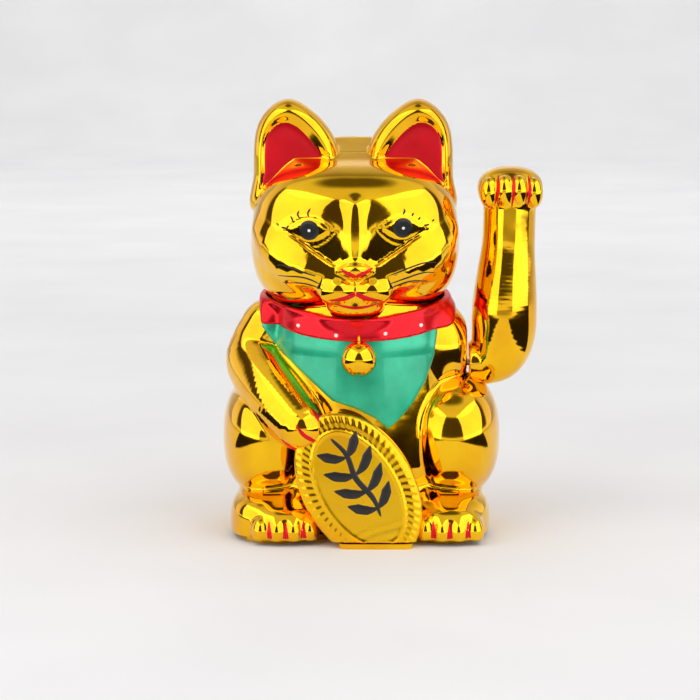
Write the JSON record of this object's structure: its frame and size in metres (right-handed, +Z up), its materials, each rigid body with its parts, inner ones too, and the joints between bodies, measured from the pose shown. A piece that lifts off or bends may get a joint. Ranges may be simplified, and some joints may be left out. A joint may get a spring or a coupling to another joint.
{
  "type": "beckoning cat figurine",
  "caption": "Seated gold cat figurine with a collar, bell and bib, an oval coin at its belly and one raised arm that waves on a battery pendulum.",
  "frame": {"origin": "on the shelf that the figurine stands on, under the middle of its body", "axes": "+Z up, +X towards the raised arm, -Y the way the cat faces"},
  "size_m": [0.1493, 0.1072, 0.1984],
  "materials": {
    "gold_plate": "vacuum-metallised gold lacquer on moulded plastic, mirror gloss",
    "red_lacquer": "translucent red lacquer over the metallised plastic, glossy",
    "green_lacquer": "pearl green paint, satin gloss",
    "cell_jacket": "printed plastic jacket on a steel can",
    "steel": "nickel-plated steel",
    "black_plastic": "moulded black plastic",
    "white_plastic": "moulded white acetal",
    "ivory_plastic": "moulded ivory ABS",
    "board_green": "green solder mask on laminate",
    "copper_wire": "enamelled copper wire",
    "blue_sleeve": "shrunk plastic sleeve on an aluminium can",
    "red_insulation": "soft vinyl insulation",
    "black_insulation": "soft vinyl insulation",
    "magnet_nickel": "nickel-plated ferrite disc"
  },
  "bodies": {
    "figure": {"front_shell": "gold_plate", "rear_shell": "gold_plate", "collar": "red_lacquer", "bib": "green_lacquer", "bell": "gold_plate", "koban": "gold_plate", "base_plate": "gold_plate", "aa_cell": "cell_jacket", "positive_contact": "steel", "negative_spring": "steel", "switch_body": "steel", "drive_frame": "ivory_plastic", "circuit_board": "board_green", "coil_bobbin": "white_plastic", "coil_winding": "copper_wire", "driver_chip": "black_plastic", "capacitor": "blue_sleeve", "transistor": "black_plastic", "red_leads": "red_insulation", "black_lead": "black_insulation", "base_screws": "steel", "small_screws": "steel"},
    "waving_arm": {"arm_front_shell": "gold_plate", "arm_rear_shell": "gold_plate", "pivot_shaft": "steel", "pendulum_lever": "white_plastic", "counterweight": "steel", "drive_magnet": "magnet_nickel", "retaining_clips": "steel"},
    "door": {"battery_door": "gold_plate"},
    "knob": {"switch_knob": "black_plastic"}
  },
  "joints": [
    {"name": "arm_swing", "type": "hinge", "parent": "figure", "child": "waving_arm", "pos_m": [0.0506, 0, 0.0766], "axis": [1, 0, 0], "range_deg": [-20, 20]},
    {"name": "battery_door_hinge", "type": "hinge", "parent": "figure", "child": "door", "pos_m": [-0.021, 0.0279, 0.0003], "axis": [1, 0, 0], "range_deg": [0, 50]},
    {"name": "power_switch", "type": "slide", "parent": "figure", "child": "knob", "axis": [1, 0, 0], "range_m": [0, 0.002]}
  ]
}
